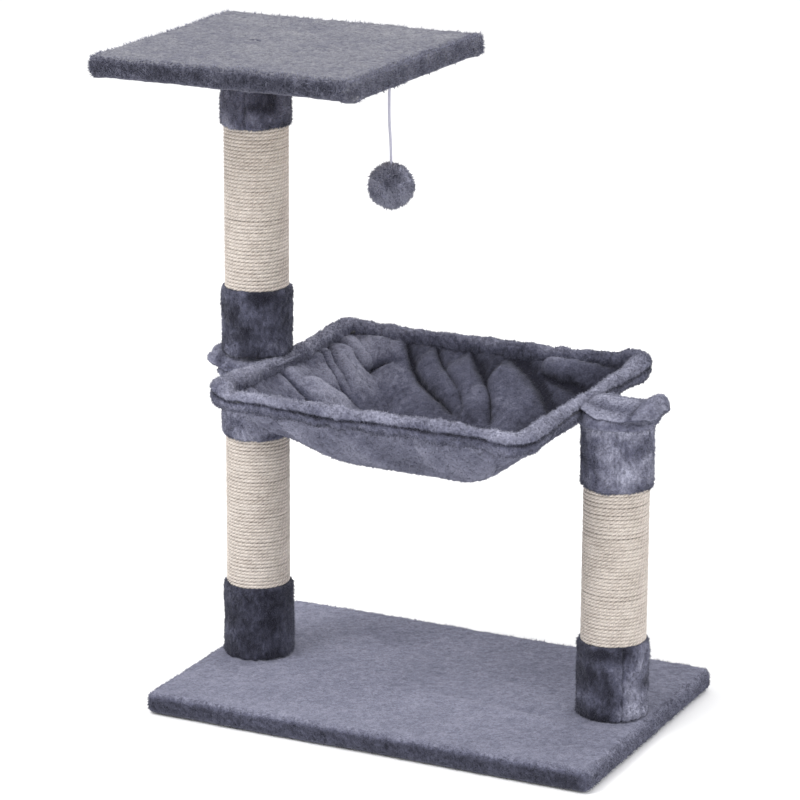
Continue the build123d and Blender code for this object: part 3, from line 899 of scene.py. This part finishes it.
def fold_rise(u, v):
    """How far the folds lift the cloth into the bag, and how deep in a crease each point lies."""
    rise, crease = np.zeros(u.shape), np.zeros(u.shape)
    x, y = u * BAG_HALF_LONG, v * BAG_HALF_WIDE
    for u0, v0, u1, v1, width, height in FOLDS:
        ax, ay = u0 * BAG_HALF_LONG, v0 * BAG_HALF_WIDE
        bx, by = u1 * BAG_HALF_LONG, v1 * BAG_HALF_WIDE
        length = math.hypot(bx - ax, by - ay)
        along = ((x - ax) * (bx - ax) + (y - ay) * (by - ay)) / length**2
        beside = ((x - ax) * (by - ay) - (y - ay) * (bx - ax)) / length * math.copysign(1, width)
        beside = beside + 0.005 * np.sin(along * 4 + u0 * 5 + v0 * 3)
        fade = smoothstep(-0.12, 0.08, along) * (1 - smoothstep(0.60, 1.30, along))
        wide = abs(width) * MM * (0.8 + 0.5 * np.clip(along, 0, 1))
        t = beside / wide + 1
        fold = np.where(t < 0, np.exp(-((t / 1.5) ** 2)), np.clip(1 - np.abs(t) ** 3, 0, 1))
        lap = 0.35 * np.exp(-(((t - 1.9) / 0.7) ** 2)) * (t > 1) * smoothstep(1, 1.5, t)
        rise = np.maximum(rise, 0) + height * MM * fade * (fold + lap)
        crease = np.maximum(crease, fade * np.exp(-(((t - 1.02) / 0.26) ** 2)))
    return rise * (1 - 0.85 * crease), crease


def hammock_sack():
    """The bag with its folds, thickened and furred on both sides."""
    factor = 3
    layer = finer_grid(hung_cloth(68, 60), factor)
    rows, columns = layer.shape[:2]
    u, v = np.meshgrid(np.linspace(-1, 1, columns), np.linspace(-1, 1, rows))
    normal = grid_normals(layer)
    square = np.maximum(np.abs(u), np.abs(v))
    rise, crease = fold_rise(u, v)
    rise = np.minimum(rise, 0.018) * (1 - smoothstep(0.965, 1.0, square))
    layer = layer + normal * (0.65 * rise)[..., None]
    obj = thick_sheet("hammock_bag_plush", layer, 0.0050 + 0.6 * rise)
    # Painted light and shade: darker towards one side and in the bag's deep middle, fold tops painted
    # lighter, creases darker, and the folds darker on the outside.
    shaded = smoothstep(-0.75, 0.05, u + 0.35 * v)
    deep = 1 - smoothstep(0.45, 0.85, square)
    inner_tone = 0.47 - 0.34 * shaded - 0.08 * deep + 18 * rise - 0.45 * crease
    tone = np.concatenate([inner_tone.ravel(), (0.56 - 12 * rise).ravel()])
    grow_pile(obj, 0.0012, (1, 1, 1), 91, tone, 0.13, 0.035)
    finish_piece(obj, plush, "tree", ["hammock_bag"])
    return obj, tufts_on(obj, 34000, 0.0028, 0.0009, (0, 0, -0.35), 304)


hem, hem_tufts = hem_roll()
hammock_bag, bag_tufts = hammock_sack()


# ---------------------------------------------------------------- hammock tabs
def tab_lip(node, seed):
    """The tab's lower layer: a plush disc that laps over the edge of the post's top."""
    post_low, post_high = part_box(node)
    middle = (post_low + post_high) / 2
    top = post_high.z
    around = 170
    angles = np.arange(around) * 2 * math.pi / around
    circle = np.stack([np.cos(angles), np.sin(angles), angles * 0], 1)
    reach = 0.0415 + 0.0008 * grain(circle, 0.5, seed)
    profile = [(k / 20, 0.0085) for k in range(1, 19)]
    profile += [(0.90 + 0.10 * math.sin(t), 0.0030 + 0.0055 * math.cos(t)) for t in arc_steps(0, 150, 14)]
    profile += [(k, 0.0005) for k in np.linspace(0.935, 0.05, 14)]
    points = []
    for share, height in profile:
        x, y = np.cos(angles) * reach * share, np.sin(angles) * reach * share
        ring = np.stack([x, y, angles * 0 + height], 1)
        points.append(ring + np.array([middle.x, middle.y, top]))
    points = np.concatenate(points)
    beyond = np.hypot(points[:, 0] - middle.x, points[:, 1] - middle.y)
    points[:, 2] -= 0.0042 * smoothstep(0.0375, 0.0410, beyond)
    faces = [tuple(reversed(face)) for face in tube_faces(len(profile), around)]
    obj = new_mesh(f"plush_{node}_lip", points, faces)
    grow_pile(obj, 0.0006, (1, 1, 1), seed, np.full(len(points), 0.5), 0.08, 0.02)
    return finish_piece(obj, plush, "tree", ())


def tab_flap(node, post_node, side, end_roll, seed):
    """The tab's upper layer: a thick leaf over a post's end, thin at the hem and rolled up at its tip."""
    low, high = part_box(node)
    post_low, post_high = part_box(post_node)
    root = (low.x if side > 0 else high.x) - side * 0.015
    tip = (high.x if side > 0 else low.x) - side * 0.002
    u, v = np.meshgrid(np.linspace(0, 1, 101), np.linspace(-1, 1, 101))
    half = 0.026 + 0.014 * smoothstep(0.0, 0.28, u) - 0.007 * smoothstep(0.62, 1, u)
    round_end = np.sqrt(np.clip(1 - ((u - 0.90) / 0.10) ** 2, 0, 1)) * (u > 0.90) + (u <= 0.90)
    x = root + side * abs(tip - root) * (u - 0.09 * u**3 * v * v)
    y = v * half * (0.55 + 0.45 * round_end)
    puff = np.exp(-(((u - 0.88) / 0.105) ** 2)) * (1 - 0.45 * v * v)
    valley = np.exp(-(((u - 0.70) / 0.07) ** 2)) * (1 - v * v)
    droop = -0.0075 * np.abs(v) ** 2.5 * smoothstep(0.10, 0.4, u) * (1 - 0.5 * smoothstep(0.6, 0.9, u))
    ridges = 0.0020 * np.sin(v * 6.0 + u * 2 + seed) * smoothstep(0.02, 0.25, u) * (1 - puff)
    z = post_high.z + 0.0128 - 0.0022 * valley + droop + ridges + (end_roll - 0.0085) * 0.3 * puff
    across = np.sqrt(np.clip(1 - np.abs(v) ** 3.2, 0, 1))
    thickness = (0.0095 + 2 * (end_roll - 0.0048) * puff) * across * (0.35 + 0.65 * smoothstep(-0.1, 0.3, u))
    thickness = np.maximum(thickness * round_end, 0.0012)
    layer = np.stack([x, y, z], -1)
    if side < 0:
        layer, thickness = layer[::-1], thickness[::-1]
    obj = thick_sheet(f"plush_{node}", layer, thickness)
    points = points_of(obj)
    slit_x = points[:, 0] - (post_low.x + post_high.x) / 2
    slit = np.exp(-(((points[:, 1] + 25 * slit_x**2) / 0.0012) ** 2)) * (np.abs(slit_x) < 0.006)
    upper = np.arange(len(points)) < u.size
    roll_shadow = np.exp(-(((np.tile(u.ravel(), 2) - 0.765) / 0.045) ** 2))
    # Painted light and shade: the slit, the inside of the end roll and the underside are painted darker, and
    # the ridge crests lighter.
    upper_tone = 0.64 - 0.4 * slit - 0.30 * roll_shadow + 70 * np.tile(ridges.ravel(), 2)
    tone = np.where(upper, upper_tone, 0.32)
    grow_pile(obj, 0.0006, (1, 1, 1), seed, tone, 0.12, 0.020, 1.0, -0.0035 * slit * upper)
    finish_piece(obj, plush, "tree", [node])
    return obj


for tab_node, tab_post, tab_side, tab_roll, tab_seed in (
    ("hammock_right_tab", "right_post_top_cuff", 1, 0.0125, 101),
    ("hammock_left_tab", "lower_left_post_top_cuff", -1, 0.0090, 111),
):
    lip = tab_lip(tab_post, tab_seed + 5)
    flap = tab_flap(tab_node, tab_post, tab_side, tab_roll, tab_seed)
    flap_tufts = tufts_on(flap, 4200, 0.0028, 0.0010, (0.1 * tab_side, 0, 0), tab_seed + 7)
    lip_tufts = tufts_on(lip, 1600, 0.0032, 0.0011, (0, 0, -0.1), tab_seed + 8)


# ---------------------------------------------------------------- hanging toy
# The cord's route repeats the part's, in metres: from under its top knot to its end knot.
CORD_ROUTE = [
    (BASE_MIDDLE.x - 0.0540, 0.003, 0.65425),
    (BASE_MIDDLE.x - 0.0545, 0.003, 0.6220),
    (BASE_MIDDLE.x - 0.0515, 0.003, 0.5920),
    (BASE_MIDDLE.x - 0.0515, 0.003, 0.5557),
]
cord_curve = bpy.data.curves.new("toy_string", "CURVE")
cord_curve.dimensions = "3D"
cord_curve.bevel_depth = 0.0014
cord_curve.bevel_resolution = 4
cord_curve.resolution_u = 24
cord_curve.use_fill_caps = True
spline = cord_curve.splines.new("NURBS")
spline.points.add(len(CORD_ROUTE) - 1)
for point, place in zip(spline.points, CORD_ROUTE):
    point.co = (*place, 1)
spline.order_u = 3
spline.use_endpoint_u = True
toy_string = bpy.data.objects.new("toy_string", cord_curve)
bpy.context.collection.objects.link(toy_string)
finish_piece(toy_string, cord_yarn, "toy", ["toy_cord"])


def pompom():
    """A ball of cut plush: a dense ball whose surface breaks into locks, and tapered tufts over it."""
    low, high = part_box("toy_pompom")
    middle = np.array((low + high) / 2)
    radius = (high.x - low.x) / 2
    count = 5200
    number = np.arange(count) + 0.5
    polar = np.arccos(1 - 2 * number / count)
    turn = math.pi * (1 + 5**0.5) * number
    heading = np.stack([np.cos(turn) * np.sin(polar), np.sin(turn) * np.sin(polar), np.cos(polar)], 1)
    generator = np.random.default_rng(3)
    bunch = np.stack([grain(middle + heading * radius, 0.007, k) for k in (141, 142, 143)], 1)
    lean = heading + generator.normal(0, 0.16, (count, 3)) + 0.6 * bunch + np.array([0, 0, -0.12])
    lean /= np.linalg.norm(lean, axis=1)[:, None]
    side = np.cross(lean, generator.normal(0, 1, (count, 3)))
    side /= np.linalg.norm(side, axis=1)[:, None]
    other = np.cross(lean, side)
    length = radius * (0.30 + 0.05 * generator.normal(0, 1, count))[:, None]
    foot = middle + heading * radius * 0.72
    width = 0.00075
    middles = foot + lean * length * 0.55
    tips = foot + lean * length + np.array([0, 0, -0.0006])
    corners = [(math.cos(a), math.sin(a)) for a in THIRDS_OF_A_TURN]
    lower = [foot + (side * c + other * s) * width * 1.2 for c, s in corners]
    upper = [middles + (side * c + other * s) * width for c, s in corners]
    points = np.stack([*lower, *upper, tips], 1)
    lock_tone = grain(foot, 0.006, 131) + 0.6 * grain(foot, 0.013, 132)
    faces = []
    for k in range(count):
        o = 7 * k
        faces.append((o + 2, o + 1, o))
        for a, b in ((0, 1), (1, 2), (2, 0)):
            faces.append((o + a, o + b, o + 3 + b, o + 3 + a))
            faces.append((o + 3 + a, o + 3 + b, o + 6))
    tufts = new_mesh("pompom_tufts", points, faces)
    # Tufts are painted dark at their feet and light at their tips: painted shade deep in the ball and a
    # painted highlight on the tips.
    foot_shade_to_tip_light = np.array([0.40] * 3 + [0.92] * 3 + [1.0])
    paint_nap_and_shade(tufts, np.tile(foot_shade_to_tip_light, count) + 0.42 * np.repeat(lock_tone, 7))
    finish_piece(tufts, plush, "toy", ())

    rows, around = 90, 140
    latitude = np.linspace(0.02, math.pi - 0.02, rows)
    longitude = np.arange(around) * 2 * math.pi / around
    ball = np.stack(
        [
            np.sin(latitude)[:, None] * np.cos(longitude)[None, :],
            np.sin(latitude)[:, None] * np.sin(longitude)[None, :],
            np.cos(latitude)[:, None] * np.ones(around)[None, :],
        ],
        -1,
    )
    body = middle + ball * radius * 0.86
    faces = [tuple(reversed(face)) for face in tube_faces(rows, around)]
    core = new_mesh("pompom_ball", body, faces)
    places = body.reshape(-1, 3)
    locks = 0.0022 * grain(places, 0.0052, 121) + 0.0013 * grain(places, 0.0022, 122)
    put_points(core, places + ball.reshape(-1, 3) * locks[:, None])
    # The raised locks are painted lighter and the hollows between them darker: painted light and shade.
    paint_nap_and_shade(core, 0.62 + 130 * locks)
    finish_piece(core, plush, "toy", ["toy_pompom"])
    return core, tufts


pompom_ball, pompom_tufts = pompom()


# ---------------------------------------------------------------- floor and light
def stage_floor():
    size, level = 60.0, -0.0004
    points = [(-size, -size, level), (size, -size, level), (size, size, level), (-size, size, level)]
    floor = new_mesh("floor", np.array(points), [(0, 1, 2, 3)])
    material, _, _, shader, _ = start_material("pale_floor", 0.9)
    shader.inputs["Base Color"].default_value = (0.97, 0.97, 0.975, 1)
    floor.data.materials.append(material)


def area_light(name, place, aim, size, power):
    light = bpy.data.lights.new(name, "AREA")
    light.shape = "DISK"
    light.size = size
    light.energy = power
    obj = bpy.data.objects.new(name, light)
    bpy.context.collection.objects.link(obj)
    obj.location = place
    obj.rotation_euler = (Vector(aim) - Vector(place)).to_track_quat("-Z", "Y").to_euler()


stage_floor()
area_light("key_light", (-0.9, -1.6, 2.6), (0, 0, 0.35), 1.6, 55)
area_light("fill_light", (2.4, -1.8, 1.5), (0, 0, 0.35), 2.2, 22)
area_light("back_light", (0.2, 2.4, 2.2), (0, 0, 0.4), 2.0, 24)
world = bpy.data.worlds.new("studio")
world.use_nodes = True
world.node_tree.nodes["Background"].inputs["Color"].default_value = (1, 1, 1, 1)
world.node_tree.nodes["Background"].inputs["Strength"].default_value = 1.0
bpy.context.scene.world = world
